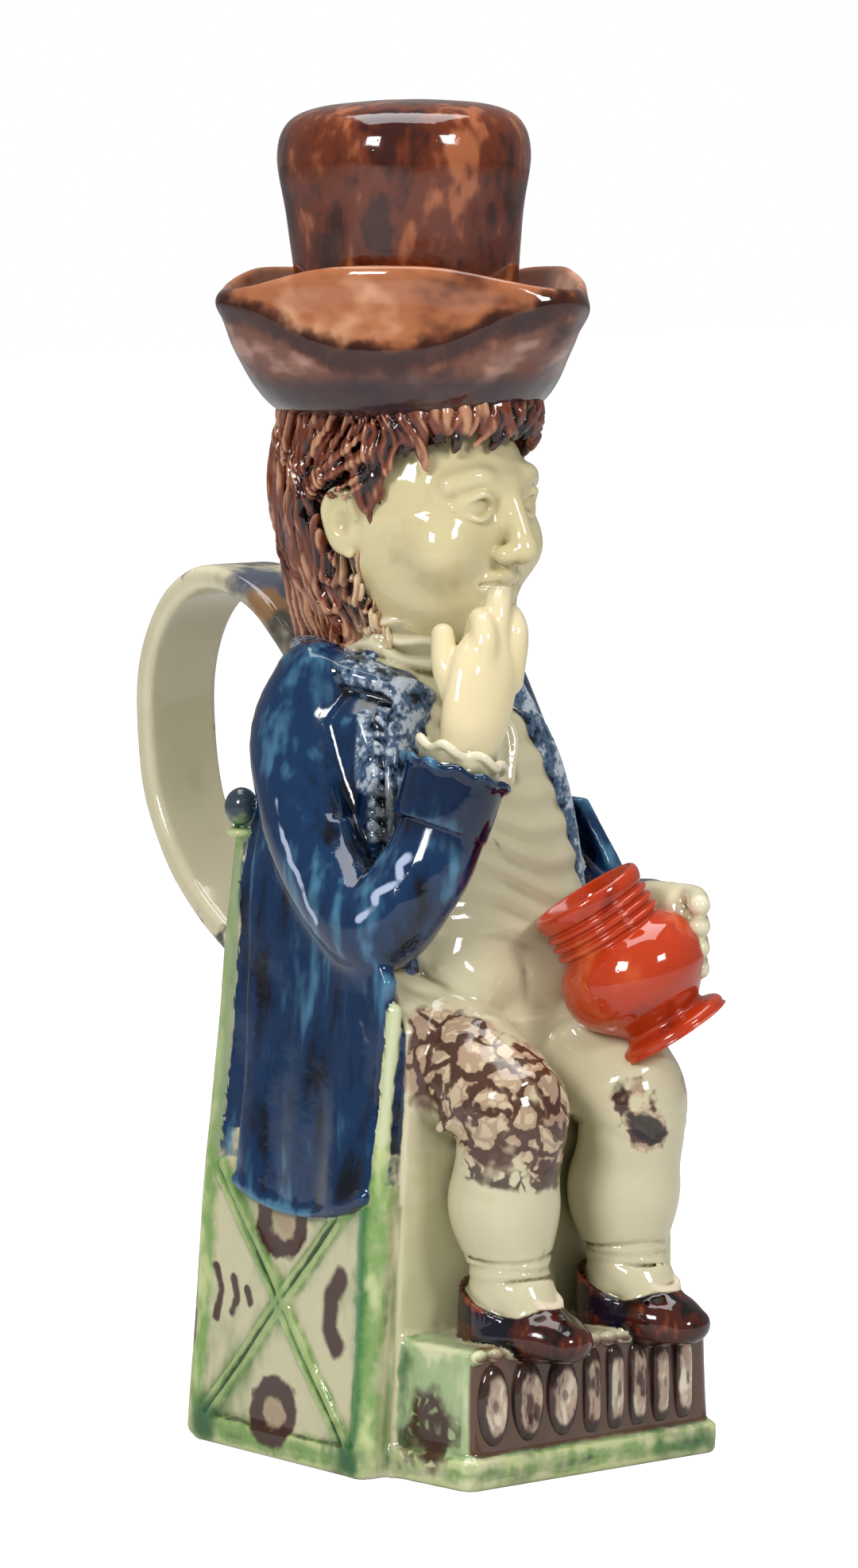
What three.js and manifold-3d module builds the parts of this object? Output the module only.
// A toby jug: a seated man in a cocked hat, press-moulded in earthenware with his chair, strap handle
// and ale mug as one hollow jug, and the tall crown of his hat as a cover that lifts off.
// Units are millimetres, +Z is up and the figure looks towards -Y. While it is being made, x = y = 0 is
// the upright axis through his neck; the finished group is moved so that the origin is the middle of the
// footprint, on the surface that the jug stands on.
import * as THREE from "three";
import { mergeVertices } from "three/addons/utils/BufferGeometryUtils.js";
import Module from "manifold-3d";

const wasm = await Module();
wasm.setup();

// ---- Driving dimensions ----

const REST_GAP = 0.3; // glaze clearance under the cover

// The chair tapers upwards. Each level is [z, half width, front y, back y].
const CHAIR = [
  [0, 44.5, -40, 21],
  [6, 43.8, -40, 20.5],
  [59, 41.6, -41, 17.5],
  [104, 37.5, -42.5, 16],
  [128, 36, -34, 15.5],
  [142, 33.5, -20, 14.5],
];
const CHAIR_CORNER = 3; // corner radius of chair and footstool
const STOOL = { top: 30, frontY: -64.5, frontHalf: 35.5, backHalf: 42, rail: 6.5 };
const FOOT = { recess: 2.5, rim: 7 }; // hollow under the base and the rim it stands on

// The body over the chair, in the same form, with the squareness of its section last.
const TORSO = [
  [92, 31, -34, 13, 3],
  [104, 32, -38, 14, 2.6],
  [116, 31.5, -38.5, 14.5, 2.4],
  [132, 30.5, -34, 14.5, 2.3],
  [148, 30, -28, 14, 2.3],
  [160, 28.5, -23, 14, 2.2],
  [168, 22, -18, 15, 2.1],
  [175, 16, -16, 17, 2],
  [190, 15, -14, 17, 2],
];

// The hollow inside, from the floor of the chair to the mouth in the hat, which leaves walls of about 5 mm.
const HOLLOW = [
  [8.5, 36.5, -33, 14, 5],
  [14, 38, -35, 15, 5],
  [59, 36, -36, 12, 5],
  [90, 32.5, -36, 10.5, 4],
  [104, 28, -32, 9.5, 3],
  [126, 26, -30, 9.5, 2.5],
  [148, 23, -20, 9, 2.3],
  [162, 17, -14, 9.5, 2],
  [172, 11.5, -10, 12, 2],
  [181, 12, -12, 14, 2],
  [194, 16.5, -19, 19, 2],
  [214, 17.5, -20, 20, 2],
  [228, 16, -16, 16, 2],
];

const HEAD = { yaw: 12, z: 206, half: 22.5, deep: 28, high: 28, chin: 178 };
const HAT = { z: 243, tiltBack: 1.5, cock: 0.03, mouth: 17.3, corners: 3 };
const MUG = { centre: [16, -57, 107.5], towards: [-0.41, 0.34, 0.85], centreHeight: 17 };
const HANDLE = { width: 20, thick: 5.6 };
const DEGREE = Math.PI / 180;

// ---- Making and joining solids ----

// A closed geometry as a solid that points outwards.
function solid(geometry) {
  const bare = geometry.clone();
  bare.deleteAttribute("normal");
  bare.deleteAttribute("uv");
  const merged = mergeVertices(bare, 1e-4);
  const vertProperties = merged.attributes.position.array;
  const triVerts = new Uint32Array(merged.index.array);
  const made = new wasm.Manifold(new wasm.Mesh({ numProp: 3, vertProperties, triVerts }));
  if (made.volume() > 0) return made;
  for (let i = 0; i < triVerts.length; i += 3)
    [triVerts[i], triVerts[i + 1]] = [triVerts[i + 1], triVerts[i]];
  return new wasm.Manifold(new wasm.Mesh({ numProp: 3, vertProperties, triVerts }));
}

function geometryOf(made) {
  const mesh = made.getMesh();
  const geometry = new THREE.BufferGeometry();
  geometry.setAttribute("position", new THREE.BufferAttribute(mesh.vertProperties, 3));
  geometry.setIndex(new THREE.BufferAttribute(mesh.triVerts, 1));
  geometry.computeVertexNormals();
  return geometry;
}

const join = (solids) => solids.reduce((whole, next) => whole.add(next));

// A skin over rings of points, each ring with the same number of them, closed flat at both ends.
function skin(rings) {
  const count = rings[0].length;
  const points = rings.flat();
  const faces = [];
  rings.slice(1).forEach((_, level) => {
    for (let i = 0; i < count; i++) {
      const a = level * count + i;
      const b = level * count + ((i + 1) % count);
      faces.push(a, b, b + count, a, b + count, a + count);
    }
  });
  const ends = [rings[0], rings[rings.length - 1]];
  ends.forEach((ring, end) => {
    const middle = ring.reduce((sum, p) => sum.add(p), new THREE.Vector3()).divideScalar(count);
    const first = end ? (rings.length - 1) * count : 0;
    points.push(middle);
    for (let i = 0; i < count; i++) {
      const pair = [first + i, first + ((i + 1) % count)];
      if (!end) pair.reverse();
      faces.push(points.length - 1, ...pair);
    }
  });
  const geometry = new THREE.BufferGeometry().setFromPoints(points);
  geometry.setIndex(faces);
  return geometry;
}

// A level section between a front and a back y. Squareness 2 is an ellipse, and more is boxier.
function levelRing([z, half, front, back, squareness], sides) {
  return Array.from({ length: sides }, (_, i) => {
    const angle = ((i + 0.5) / sides) * 2 * Math.PI;
    const bulge = (v) => Math.sign(v) * Math.abs(v) ** (2 / squareness);
    const y = (front + back) / 2 + ((back - front) / 2) * bulge(Math.sin(angle));
    return new THREE.Vector3(half * bulge(Math.cos(angle)), y, z);
  });
}

// A level rectangle with round corners, whose front may be narrower than its back.
function boxRing(z, frontHalf, backHalf, front, back, corner, steps = 2) {
  const centres = [
    [backHalf - corner, back - corner],
    [-backHalf + corner, back - corner],
    [-frontHalf + corner, front + corner],
    [frontHalf - corner, front + corner],
  ];
  return centres.flatMap(([x, y], quarter) =>
    Array.from({ length: steps + 1 }, (_, i) => {
      const angle = (quarter + i / steps) * 90 * DEGREE;
      return new THREE.Vector3(x + corner * Math.cos(angle), y + corner * Math.sin(angle), z);
    }),
  );
}

// A limb, lock or finger along a smooth line through stations [x, y, z, half width, half depth].
// The half width is measured along "across", made square to the line.
function limb(stations, { sides = 12, steps = 3, across = [1, 0, 0] } = {}) {
  const line = new THREE.CatmullRomCurve3(stations.map(([x, y, z]) => new THREE.Vector3(x, y, z)));
  const sizes = new THREE.CatmullRomCurve3(
    stations.map(([, , , wide, deep = wide]) => new THREE.Vector3(wide, deep, 0)),
  );
  const last = (stations.length - 1) * steps;
  const rounding = [0.35, 0.8]; // how far the first and last rings draw in, so that the ends are round
  return solid(
    skin(
      Array.from({ length: last + 1 }, (_, level) => {
        const t = level / last;
        const centre = line.getPoint(t);
        const along = line.getTangent(t);
        const size = sizes.getPoint(t);
        const first = new THREE.Vector3(...across);
        first.addScaledVector(along, -first.dot(along)).normalize();
        const second = along.clone().cross(first);
        const end = rounding[Math.min(level, last - level)] ?? 1;
        return Array.from({ length: sides }, (_, i) => {
          const angle = (i / sides) * 2 * Math.PI;
          return centre
            .clone()
            .addScaledVector(first, size.x * end * Math.cos(angle))
            .addScaledVector(second, size.y * end * Math.sin(angle));
        });
      }),
    ),
  );
}

// An ellipsoid of half sizes [x, y, z], turned about Z and then moved.
function ball(centre, half, { sides = 16, levels = 10, turn = 0 } = {}) {
  const geometry = new THREE.SphereGeometry(1, sides, levels);
  geometry.rotateX(Math.PI / 2);
  geometry.scale(...half);
  geometry.rotateZ(turn * DEGREE);
  geometry.translate(...centre);
  return solid(geometry);
}

// A turned form with its axis upright, from a profile of [radius, height].
function turned(profile, sides) {
  const points = profile.map(([radius, height]) => new THREE.Vector2(radius, height));
  return new THREE.LatheGeometry(points, sides).rotateX(Math.PI / 2);
}

const smooth = (t) => t * t * (3 - 2 * t);
const clamp = (t) => Math.min(1, Math.max(0, t));

// The chair's half width, front y or back y (column 1, 2 or 3) at a height.
function chairAt(z, column) {
  const upper = Math.max(1, CHAIR.findIndex(([level]) => level >= z));
  const [low, high] = [CHAIR[upper - 1], CHAIR[upper]];
  return THREE.MathUtils.mapLinear(z, low[0], high[0], low[column], high[column]);
}

// ---- Chair, footstool and coat skirts ----

function chair() {
  const rings = CHAIR.map(([z, half, front, back]) =>
    boxRing(z, half, half, front, back, CHAIR_CORNER),
  );
  return solid(skin(rings));
}

function footstool() {
  const { top, frontY, frontHalf, backHalf, rail } = STOOL;
  const inside = CHAIR[0][2] + 8;
  const level = (z, out) => boxRing(z, frontHalf + out, backHalf + out, frontY - out, inside, CHAIR_CORNER);
  return solid(skin([level(0, 0), level(rail, 0), level(rail + 0.8, -1.2), level(top, -1.8)]));
}

// A rail laid on a flat face, from one point to another, standing proud along "outward".
function rail(from, to, width, proud, outward) {
  const [start, end] = [new THREE.Vector3(...from), new THREE.Vector3(...to)];
  const along = end.clone().sub(start);
  const box = new THREE.BoxGeometry(width, 2 * proud, along.length());
  const frame = new THREE.Matrix4();
  const up = new THREE.Vector3(...outward);
  const side = up.clone().cross(along).normalize();
  frame.makeBasis(side, along.clone().cross(side).normalize(), along.clone().normalize());
  box.applyMatrix4(frame);
  box.translate(...start.add(end).divideScalar(2));
  return solid(box);
}

// The crossed slats and posts of one side of the chair: side is -1 for his right and 1 for his left.
function sideSlats(side) {
  const low = 4;
  const high = 60;
  const inset = 4;
  const at = (z, y) => [side * (chairAt(z, 1) - 0.6), y, z];
  const front = (z) => chairAt(z, 2) + inset;
  const back = (z) => chairAt(z, 3) - inset;
  const out = [side, 0, 0];
  return join([
    rail(at(low, back(low)), at(high, front(high)), 4, 1.6, out),
    rail(at(low, front(low)), at(high, back(high)), 4, 1.6, out),
    rail(at(2, back(2)), at(high, back(high)), 6, 1.5, out),
    rail(at(2, front(2)), at(high, front(high)), 6, 1.5, out),
    rail(at(3.5, back(3)), at(3.5, front(3)), 6, 1.3, out),
  ]);
}

function backSlats() {
  const low = 7;
  const high = 60;
  const across = (z) => chairAt(z, 1) - 5;
  const at = (z, x) => [x, chairAt(z, 3) - 0.6, z];
  const out = [0, 1, 0];
  return join([
    rail(at(low, -across(low)), at(high, across(high)), 4, 1.6, out),
    rail(at(low, across(low)), at(high, -across(high)), 4, 1.6, out),
    rail(at(3.5, -across(3)), at(3.5, across(3)), 6, 1.3, out),
  ]);
}

// The back posts run on above the slats and end in small knops beside the coat.
function backPost(side) {
  const at = (z) => [side * (chairAt(z, 1) - 1), chairAt(z, 3) - 1, z];
  const post = limb(
    [3, 60, 104, 138].map((z) => [...at(z), 3, 3]),
    { sides: 6, steps: 1 },
  );
  return post.add(ball([side * 35, 14.5, 140], [3.8, 3.8, 4.4], { sides: 8, levels: 4 }));
}

// One coat skirt: a panel over the chair's side with a hem that sags in a bow.
function skirt(side) {
  const hemZ = 58;
  const sag = 5;
  const thick = 1.8;
  const bow = new THREE.Shape();
  bow.moveTo(-43, 104);
  bow.lineTo(-42.5, hemZ + 5);
  bow.quadraticCurveTo(-18, hemZ - 2 * sag, 6.5, hemZ + 1);
  bow.lineTo(8, 140);
  bow.lineTo(-20, 140);
  bow.closePath();
  const panel = new THREE.ExtrudeGeometry(bow, { depth: 1, bevelEnabled: false, curveSegments: 6 });
  const corner = panel.attributes.position;
  for (let i = 0; i < corner.count; i++) {
    const [y, z, outer] = [corner.getX(i), corner.getY(i), corner.getZ(i)];
    const x = outer ? chairAt(z, 1) + thick : chairAt(z, 1) - thick;
    corner.setXYZ(i, side * x, Math.max(y, chairAt(z, 2) - 0.6), z);
  }
  return solid(panel);
}

// A row of pressed leaves, like gadroons, along the front of the footstool.
function stoolLeaves() {
  const count = 8;
  const pitch = (2 * STOOL.frontHalf - 7) / count;
  return join(
    Array.from({ length: count }, (_, i) => {
      const x = (i - (count - 1) / 2) * pitch;
      return ball([x, STOOL.frontY + 1.3, 17.5], [pitch * 0.42, 2, 9], { sides: 6, levels: 4 });
    }),
  );
}

// ---- Body, arms and legs ----

function torso() {
  return solid(skin(TORSO.map((level) => levelRing(level, 18))));
}

function waistcoat() {
  const buttons = [150, 141, 132, 123, 114].map((z) =>
    ball([1.5, -36.2 + 0.012 * (z - 118) ** 2, z], [2, 2, 2], { sides: 5, levels: 4 }),
  );
  const points = [-1, 1].map((side) =>
    limb([[side * 14, -33, 112, 9, 5], [side * 9, -38, 105, 8, 4.5], [side * 4, -38, 100, 3, 2.5]], { sides: 6, steps: 2 }),
  );
  return join([...buttons, ...points]);
}

// The turned-back front edges and the standing collar of the coat.
function coatEdges() {
  const collar = limb(
    [[-13, -14, 167, 3, 6], [-20, -3, 171, 3.2, 6.5], [-15, 13, 174, 3.4, 6.5], [0, 19.5, 175, 3.4, 6.5],
      [15, 13, 174, 3.4, 6.5], [20, -3, 171, 3.2, 6.5], [13, -14, 167, 3, 6]],
    { sides: 6, steps: 2, across: [0, 0.1, -1] },
  );
  const edges = [-1, 1].map((side) =>
    limb(
      [[side * 13, -19, 167, 5, 2.6], [side * 20, -24.5, 150, 5.5, 2.6], [side * 23, -28, 132, 4.5, 2.6],
        [side * 25, -31, 112, 3.5, 2.4], [side * 28, -34, 100, 3, 2]],
      { sides: 6, steps: 1 },
    ),
  );
  return join([collar, ...edges]);
}

function cravat() {
  const folds = [0, 1.6].map((i) =>
    limb(
      [[-15, -4, 175 - 2.6 * i, 1.8, 3], [-10, -15 - i, 172.5 - 3 * i, 1.8, 3], [0, -18.5 - i, 171.5 - 3.4 * i, 1.8, 3],
        [10, -15 - i, 172.5 - 3 * i, 1.8, 3], [15, -4, 175 - 2.6 * i, 1.8, 3]],
      { sides: 5, steps: 2, across: [0, 0, 1] },
    ),
  );
  const fall = limb([[0, -20, 166, 4.5, 3], [1, -26, 156, 7, 3.5], [1, -29, 146, 5, 2.5]], { sides: 8, steps: 2 });
  return join([...folds, fall]);
}

function rightArm() {
  const sleeve = limb(
    [[-23, 3, 168, 9, 10], [-29, 2, 154, 10.5, 11], [-34, -12, 132, 10, 10.5], [-34, -30, 118.5, 10.5, 10.5],
      [-28, -39, 129, 9.8, 10], [-22, -41, 141, 10, 9.5]],
    { sides: 10, steps: 2 },
  );
  const cuff = limb([[-24, -41, 137, 10.5, 10], [-21, -42, 145, 11.8, 11], [-18.5, -42.5, 152.5, 12.4, 11.2]], {
    sides: 10,
    steps: 2,
  });
  const frill = limb([[-18.5, -42, 151, 9, 8], [-17, -42, 156, 10, 8.5], [-16, -42, 159, 6.5, 6]], { sides: 10, steps: 2 });
  return join([sleeve, cuff, frill]);
}

// His right hand is raised with the first finger at the lip.
function rightHand() {
  const palm = limb(
    [[-17, -41.5, 154, 6.5, 5], [-14.5, -41, 163, 8.5, 5.5], [-12, -40.5, 172, 8.5, 5], [-10, -39.5, 177, 6.5, 4.2]],
    { sides: 10, steps: 2 },
  );
  const fingers = [
    [[-9, -40.5, 172, 3.4], [-8, -40, 183, 3], [-5.5, -38, 188, 2.8], [-1.5, -34, 192, 2.4]],
    [[-5, -40.5, 170, 3.2], [-3.5, -40.5, 180, 3], [-3, -37, 184, 2.6], [-5, -33.5, 181, 2.2]],
    [[-17, -39, 165, 3.6], [-18.5, -36, 173, 3.2], [-17, -33, 180, 2.6]],
  ];
  return join([palm, ...fingers.map((line) => limb(line, { sides: 6, steps: 2 }))]);
}

function leftArm() {
  const sleeve = limb(
    [[22, 2, 168, 9, 9.5], [27, 0, 153, 10, 10], [32, -5, 133, 9.5, 9.5], [35, -15, 120, 9.5, 9.5],
      [36, -29, 114.5, 8.8, 8.8], [35, -40, 115, 9.4, 9]],
    { sides: 10, steps: 2 },
  );
  const palm = limb([[34, -40, 116, 6, 7], [32, -48, 117, 5.5, 7.5], [30, -56, 117, 4.5, 7]], { sides: 10, steps: 2 });
  const fingers = Array.from({ length: 4 }, (_, i) =>
    limb(
      [[32, -52, 122 - 4.2 * i, 2.4], [30.5, -61, 122.5 - 4.4 * i, 2.3], [25.5, -68.5, 121.5 - 4.6 * i, 2.1]],
      { sides: 6, steps: 2 },
    ),
  );
  return join([sleeve, palm, ...fingers]);
}

// A leg from hip to shoe. toeX is where the toe points across, as the feet aren't quite alike.
function leg(side, toeX) {
  const thigh = limb(
    [[side * 18, -14, 93, 13, 12], [side * 18, -36, 89, 13.8, 13], [side * 17, -54, 81, 13.2, 12.4], [side * 17, -60, 74, 11, 9]],
    { sides: 10, steps: 2 },
  );
  const shin = limb(
    [[side * 17, -56, 84, 11, 10], [side * 17, -56, 68, 11.6, 11], [side * 17, -54, 59, 12.4, 11.6],
      [side * 16.5, -54.5, 46, 9.8, 9.4], [side * 16.5, -54.5, 39, 10, 9.6], [side * 16.5, -56, 32, 8, 9]],
    { sides: 10, steps: 2 },
  );
  const shoe = limb(
    [[side * 17, -45, 34, 6.5, 5.5], [side * 16.5 + (toeX - side * 16.5) * 0.35, -54, 34, 8, 6.8],
      [toeX - (toeX - side * 16.5) * 0.3, -66, 32, 7.8, 5.4], [toeX, -76, 30.5, 6, 3.6]],
    { sides: 8, steps: 2 },
  );
  const buckle = ball([toeX - (toeX - side * 16.5) * 0.4, -64, 36.2], [3.6, 3, 1.6], { sides: 6, levels: 4 });
  return join([thigh, shin, shoe, buckle]);
}

// ---- Head, hair and hat ----

// Turns a solid made with the face towards -Y to the way that the head looks.
const lookAside = (made) => made.rotate([0, 0, HEAD.yaw]);

function head() {
  const { z, half, deep, high, chin } = HEAD;
  const eyeZ = z + 1;
  const skull = ball([0, -1, z], [half, deep, high], { sides: 14, levels: 8 });
  const jaw = ball([0, -11, chin + 10], [15.5, 16, 12], { sides: 10, levels: 6 });
  const chinTip = ball([0, -23.5, chin + 4.5], [6, 4.5, 5], { sides: 8, levels: 4 });
  const nose = limb([[0, -27.5, eyeZ + 3, 2.2, 2.5], [0, -32.5, eyeZ - 10, 3.8, 3.2], [0, -28, eyeZ - 12, 3, 2]], {
    sides: 6,
    steps: 2,
  });
  const pairs = [-1, 1].flatMap((side) => [
    ball([side * 8.5, -25, eyeZ], [4.4, 2.8, 2.6], { sides: 8, levels: 4 }),
    ball([side * 9, -24.2, eyeZ + 5.5], [6.5, 3.4, 1.8], { sides: 8, levels: 6, turn: side * 14 }),
    ball([side * 11, -19.5, eyeZ - 10], [7, 6, 7], { sides: 8, levels: 4 }),
    ball([side * 21.6, 2, eyeZ - 3], [2.8, 4.6, 7.5], { sides: 8, levels: 6, turn: side * 12 }),
  ]);
  const lips = [0, 1].map((i) =>
    limb([[-6.5, -24, 190, 1.4], [0, -27, 190.8 - 3 * i, 2], [6.5, -24, 190, 1.4]], { sides: 6, steps: 2 }),
  );
  return join([skull, jaw, chinTip, nose, ...pairs, ...lips]);
}

function hair() {
  const back = ball([0, 5.5, 207], [26.5, 25, 27], { sides: 14, levels: 7 });
  const face = ball([0, -29, 199], [21, 25, 26], { sides: 10, levels: 6 });
  const nape = limb([[0, 12, 202, 21, 15], [0, 17, 187, 16, 10], [0, 18.5, 174, 11, 6.5]], { sides: 10, steps: 2 });
  const locks = [-1, 1].flatMap((side) =>
    Array.from({ length: 3 }, (_, i) =>
      limb(
        [[side * (22.5 - 1.5 * i), -7 + 9 * i, 222, 3.8, 4], [side * (25.5 - 2.4 * i), -3 + 9 * i, 205, 4, 4.4],
          [side * (22 - 3.4 * i), 0 + 8 * i, 188, 3.6, 4], [side * (16 - 4 * i), 0 + 7.4 * i, 177 - i, 3, 3]],
        { sides: 6, steps: 1 },
      ),
    ),
  );
  const fringe = Array.from({ length: 6 }, (_, i) => {
    const angle = (i - 2.5) * 20 * DEGREE;
    const at = (z, swing, out) => [24 * Math.sin(angle + swing), -1 - (27 + out) * Math.cos(angle + swing), z];
    return limb([[...at(229, 0, -2), 3.4, 2.6], [...at(221, 0.1, 0.5), 2.6, 2]], { sides: 4, steps: 2 });
  });
  return join([back.subtract(face), nape, ...locks, ...fringe]);
}

// Three corners in plan: 1 on a corner and 0 in the middle of a flap, with 0 degrees at the front.
const cornerWeight = (angle) => ((1 + Math.cos(HAT.corners * angle)) / 2) ** 1.8;

// The cocked brim with its floor at height 0: a bowl whose rim is drawn out at three corners.
function brim() {
  const profile = [
    [0, -17.5], [24, -17.5], [29, -16], [32.8, -10.5], [34.9, -2], [35.2, 12.6], [34.3, 14.6], [32.8, 13.6],
    [31.2, 5.5], [26.5, 0.4], [25, 0], [0, 0],
  ];
  const geometry = turned(profile, 30);
  const corner = geometry.attributes.position;
  for (let i = 0; i < corner.count; i++) {
    const [x, y, z] = [corner.getX(i), corner.getY(i), corner.getZ(i)];
    const radius = Math.hypot(x, y);
    if (radius < 26) continue;
    const angle = Math.atan2(x, -y);
    const rise = smooth(clamp((z + 17) / 28));
    const front = Math.cos(angle) > 0.5 ? 1 : 0;
    const reach = 1 + (rise * cornerWeight(angle) * (8 + 2.4 * front)) / radius;
    const drop = rise * cornerWeight(angle) * 5;
    corner.setXYZ(i, x * reach, y * reach, z - drop - rise * HAT.cock * x);
  }
  return solid(geometry);
}

// Places a solid made around the middle of the hat's floor.
const onHead = (made) => made.rotate([-HAT.tiltBack, 0, 0]).rotate([0, 0, HEAD.yaw]).translate([0, 0, HAT.z]);

function mouth() {
  return solid(turned([[0, -19], [14, -19], [HAT.mouth, -7], [HAT.mouth, 1], [0, 1]], 20));
}

// The crown of the hat is the cover: a hollow cup that rests on the hat's floor, with a ring under it
// that drops into the mouth.
function crownGeometry() {
  const ring = HAT.mouth - 0.5;
  const profile = [
    [ring, -6], [ring, REST_GAP], [24.2, REST_GAP], [24.4, 14], [25.7, 29], [26.8, 38], [26.4, 42.5], [24.6, 46.5],
    [20.5, 49], [10, 50.6], [0, 51], [0, 47], [10, 46.6], [18.4, 45], [21.9, 41.5], [22.5, 37], [21.4, 28],
    [19.9, 8], [ring - 3.2, 3], [ring - 3.2, -6], [ring, -6],
  ];
  return turned(profile, 24);
}

// ---- Ale mug and handle ----

function aleMug() {
  const profile = [
    [0, 0], [13, 0], [13.2, 1.4], [12.6, 2.6], [9.6, 3.8], [9.6, 5], [13, 8.4], [16.3, 13], [16.3, 18], [14, 23],
    [11.6, 25.6], [12.3, 27], [11.6, 28.4], [12.3, 29.8], [11.6, 31.2], [12.3, 32.6], [12.9, 34.6], [12.2, 36.4],
    [10.4, 36], [9.2, 26], [12.2, 20], [12, 16], [8, 13], [0, 13],
  ];
  const geometry = turned(profile, 14);
  geometry.translate(0, 0, -MUG.centreHeight);
  const upright = new THREE.Vector3(0, 0, 1);
  const towards = new THREE.Vector3(...MUG.towards).normalize();
  geometry.applyQuaternion(new THREE.Quaternion().setFromUnitVectors(upright, towards));
  geometry.translate(...MUG.centre);
  return solid(geometry);
}

// The middle line of the strap, in the plane x = 0, from the shoulders round to the chair back.
function handle() {
  const line = new THREE.CatmullRomCurve3(
    [[10, 160], [24, 166.5], [34, 175], [43, 182], [54, 185.6], [65.5, 185.2], [76, 178.5], [82.6, 167],
      [84.4, 153], [81, 134], [70.5, 117.5], [55, 105.5], [37, 97], [12, 91]].map(([y, z]) => new THREE.Vector3(0, y, z)),
  );
  const { width, thick } = HANDLE;
  const [half, round] = [width / 2, thick / 2];
  const strap = new THREE.Shape();
  strap.moveTo(half - 1, -round);
  strap.quadraticCurveTo(half, -round, half, 0);
  strap.quadraticCurveTo(half, round, half - 1, round);
  strap.lineTo(1 - half, round);
  strap.quadraticCurveTo(-half, round, -half, 0);
  strap.quadraticCurveTo(-half, -round, 1 - half, -round);
  strap.closePath();
  return solid(
    new THREE.ExtrudeGeometry(strap, { steps: 24, curveSegments: 1, bevelEnabled: false, extrudePath: line }),
  );
}

// ---- The whole jug ----

function hollow() {
  return solid(skin(HOLLOW.map((level) => levelRing(level, 12))));
}

function underside() {
  const { recess, rim } = FOOT;
  const rings = [-1, recess].map((z) =>
    boxRing(z, STOOL.frontHalf - rim - 2, CHAIR[0][1] - rim - 4, STOOL.frontY + rim, CHAIR[0][3] - rim, CHAIR_CORNER),
  );
  return solid(skin(rings));
}

function jug() {
  const clay = join([
    chair(),
    footstool(),
    sideSlats(-1),
    sideSlats(1),
    backSlats(),
    backPost(-1),
    backPost(1),
    skirt(-1),
    skirt(1),
    stoolLeaves(),
    torso(),
    waistcoat(),
    coatEdges(),
    cravat(),
    rightArm(),
    rightHand(),
    leftArm(),
    leg(-1, -13.5),
    leg(1, 20),
    lookAside(head()),
    lookAside(hair()),
    onHead(brim()),
    aleMug(),
    handle(),
  ]);
  const floor = new THREE.BoxGeometry(400, 400, 100).translate(0, 0, -50);
  return clay.subtract(join([hollow(), onHead(mouth()), underside(), solid(floor)]));
}

function mesh(name, geometry, color, roughness) {
  const made = new THREE.Mesh(
    geometry,
    new THREE.MeshStandardMaterial({ color, roughness, metalness: 0 }),
  );
  made.name = name;
  return made;
}

const tobyJug = new THREE.Group();
const body = mesh("jug", geometryOf(jug()), 0xd8cfa4, 0.15);
const crown = mesh("hat_crown_cover", crownGeometry(), 0x6b3019, 0.12);
crown.rotation.set(-HAT.tiltBack * DEGREE, 0, HEAD.yaw * DEGREE, "ZYX");
crown.position.set(0, 0, HAT.z);
tobyJug.add(body, crown);

const reach = new THREE.Box3().setFromObject(tobyJug);
tobyJug.position.set(-(reach.min.x + reach.max.x) / 2, -(reach.min.y + reach.max.y) / 2, -reach.min.z);

export default tobyJug;
